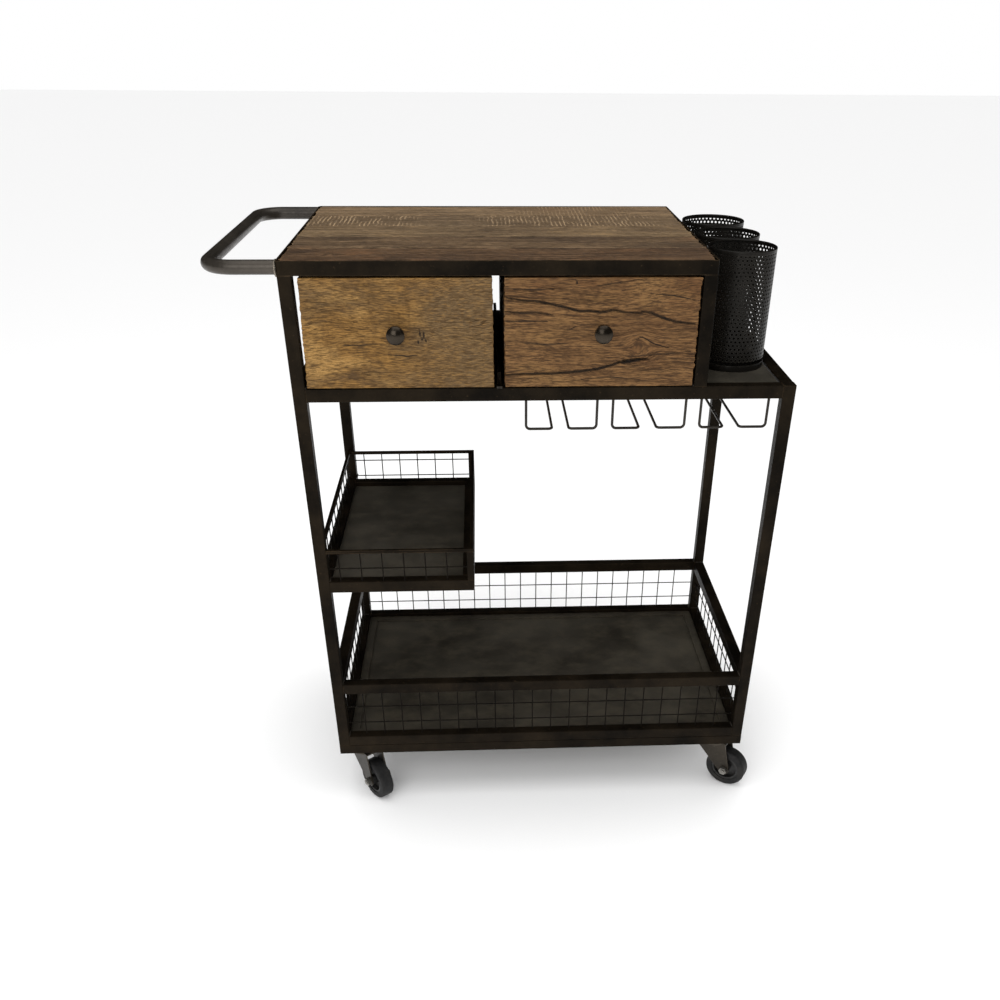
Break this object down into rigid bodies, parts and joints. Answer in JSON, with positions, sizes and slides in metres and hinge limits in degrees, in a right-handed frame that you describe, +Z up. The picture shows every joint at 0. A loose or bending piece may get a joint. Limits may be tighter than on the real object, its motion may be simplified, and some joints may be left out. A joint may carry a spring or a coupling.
{
  "type": "bar cart",
  "caption": "Rolling bar cart: plank top, paired drawers, side ledge with perforated cups, stemware rods, wire basket, caged bottom shelf, swivel casters.",
  "frame": {"origin": "on the floor, in the middle of the bounding box at rest", "axes": "+Z up, +X from the push handle towards the cup ledge, the drawer fronts face -Y"},
  "size_m": [0.8621, 0.477, 0.94],
  "materials": {
    "bronze_steel": "dark bronze patina under clear lacquer, worn on the edges",
    "floor_sheet": "blotchy grey-olive patina, satin",
    "mesh_wire": "dark bronze, satin",
    "plank_wood": "reclaimed planks, weathered grey-brown with saw marks, waxed",
    "left_front_wood": "reclaimed board, honey to grey-brown",
    "right_front_wood": "reclaimed board, warm brown with dark cracks",
    "drawer_box_wood": "plain planed board",
    "knob_metal": "dark pewter, polished on the dome",
    "cup_steel": "perforated sheet, near-black satin",
    "caster_steel": "dark bronze pressed steel",
    "zinc": "zinc plated",
    "wheel_plastic": "black moulded hub",
    "rubber": "black rubber tread"
  },
  "bodies": {
    "cart": {"front_left_leg": "bronze_steel", "rear_left_leg": "bronze_steel", "front_right_leg": "bronze_steel", "rear_right_leg": "bronze_steel", "cabinet_posts": "bronze_steel", "top_frame": "bronze_steel", "top_plank_1": "plank_wood", "top_plank_2": "plank_wood", "top_plank_3": "plank_wood", "top_plank_4": "plank_wood", "top_plank_5": "plank_wood", "push_handle": "bronze_steel", "deck_front_rail": "bronze_steel", "deck_rear_rail": "bronze_steel", "deck_side_rails": "bronze_steel", "left_drawer_runner": "bronze_steel", "right_drawer_runner": "bronze_steel", "center_drawer_guide": "bronze_steel", "ledge_plate": "floor_sheet", "stemware_rods": "bronze_steel", "basket_rails": "bronze_steel", "basket_posts": "bronze_steel", "basket_rim": "bronze_steel", "basket_floor": "floor_sheet", "basket_mesh": "mesh_wire", "shelf_guard_rails": "bronze_steel", "upper_base_rails": "bronze_steel", "lower_base_rails": "bronze_steel", "shelf_floor": "floor_sheet", "shelf_mesh": "mesh_wire", "caster_plates": "caster_steel"},
    "left_drawer": {"left_drawer_front": "left_front_wood", "left_drawer_sides": "drawer_box_wood", "left_drawer_bottom": "drawer_box_wood", "left_drawer_knob": "knob_metal", "left_knob_screw": "zinc"},
    "right_drawer": {"right_drawer_front": "right_front_wood", "right_drawer_sides": "drawer_box_wood", "right_drawer_bottom": "drawer_box_wood", "right_drawer_knob": "knob_metal", "right_knob_screw": "zinc"},
    "front_cup": {"front_cup": "cup_steel"},
    "middle_cup": {"middle_cup": "cup_steel"},
    "rear_cup": {"rear_cup": "cup_steel"},
    "front_left_caster": {"front_left_caster_fork": "caster_steel", "front_left_axle": "zinc"},
    "front_left_wheel": {"front_left_wheel_hub": "wheel_plastic", "front_left_tyre": "rubber"},
    "front_right_caster": {"front_right_caster_fork": "caster_steel", "front_right_axle": "zinc"},
    "front_right_wheel": {"front_right_wheel_hub": "wheel_plastic", "front_right_tyre": "rubber"},
    "rear_left_caster": {"rear_left_caster_fork": "caster_steel", "rear_left_axle": "zinc"},
    "rear_left_wheel": {"rear_left_wheel_hub": "wheel_plastic", "rear_left_tyre": "rubber"},
    "rear_right_caster": {"rear_right_caster_fork": "caster_steel", "rear_right_axle": "zinc"},
    "rear_right_wheel": {"rear_right_wheel_hub": "wheel_plastic", "rear_right_tyre": "rubber"}
  },
  "joints": [
    {"name": "left_drawer_slide", "type": "slide", "parent": "cart", "child": "left_drawer", "axis": [0, -1, 0], "range_m": [0, 0.3]},
    {"name": "right_drawer_slide", "type": "slide", "parent": "cart", "child": "right_drawer", "axis": [0, -1, 0], "range_m": [0, 0.3]},
    {"name": "front_cup_lift", "type": "slide", "parent": "cart", "child": "front_cup", "axis": [0, 0, 1], "range_m": [0, 0.2]},
    {"name": "middle_cup_lift", "type": "slide", "parent": "cart", "child": "middle_cup", "axis": [0, 0, 1], "range_m": [0, 0.2]},
    {"name": "rear_cup_lift", "type": "slide", "parent": "cart", "child": "rear_cup", "axis": [0, 0, 1], "range_m": [0, 0.2]},
    {"name": "front_left_swivel", "type": "hinge", "parent": "cart", "child": "front_left_caster", "pos_m": [-0.28306, -0.1715, 0.095], "axis": [0, 0, 1], "continuous": true},
    {"name": "front_left_wheel_spin", "type": "hinge", "parent": "front_left_caster", "child": "front_left_wheel", "pos_m": [-0.2632, -0.19786, 0.0375], "axis": [0.7986, 0.6018, 0], "continuous": true},
    {"name": "front_right_swivel", "type": "hinge", "parent": "cart", "child": "front_right_caster", "pos_m": [0.36694, -0.1715, 0.095], "axis": [0, 0, 1], "continuous": true},
    {"name": "front_right_wheel_spin", "type": "hinge", "parent": "front_right_caster", "child": "front_right_wheel", "pos_m": [0.39461, -0.18947, 0.0375], "axis": [0.5446, 0.8387, 0], "continuous": true},
    {"name": "rear_left_swivel", "type": "hinge", "parent": "cart", "child": "rear_left_caster", "pos_m": [-0.28306, 0.1985, 0.095], "axis": [0, 0, 1], "continuous": true},
    {"name": "rear_left_wheel_spin", "type": "hinge", "parent": "rear_left_caster", "child": "rear_left_wheel", "pos_m": [-0.29701, 0.16859, 0.0375], "axis": [0.9063, -0.4226, 0], "continuous": true},
    {"name": "rear_right_swivel", "type": "hinge", "parent": "cart", "child": "rear_right_caster", "pos_m": [0.36694, 0.1985, 0.095], "axis": [0, 0, 1], "continuous": true},
    {"name": "rear_right_wheel_spin", "type": "hinge", "parent": "rear_right_caster", "child": "rear_right_wheel", "pos_m": [0.38344, 0.16992, 0.0375], "axis": [0.866, 0.5, 0], "continuous": true}
  ]
}
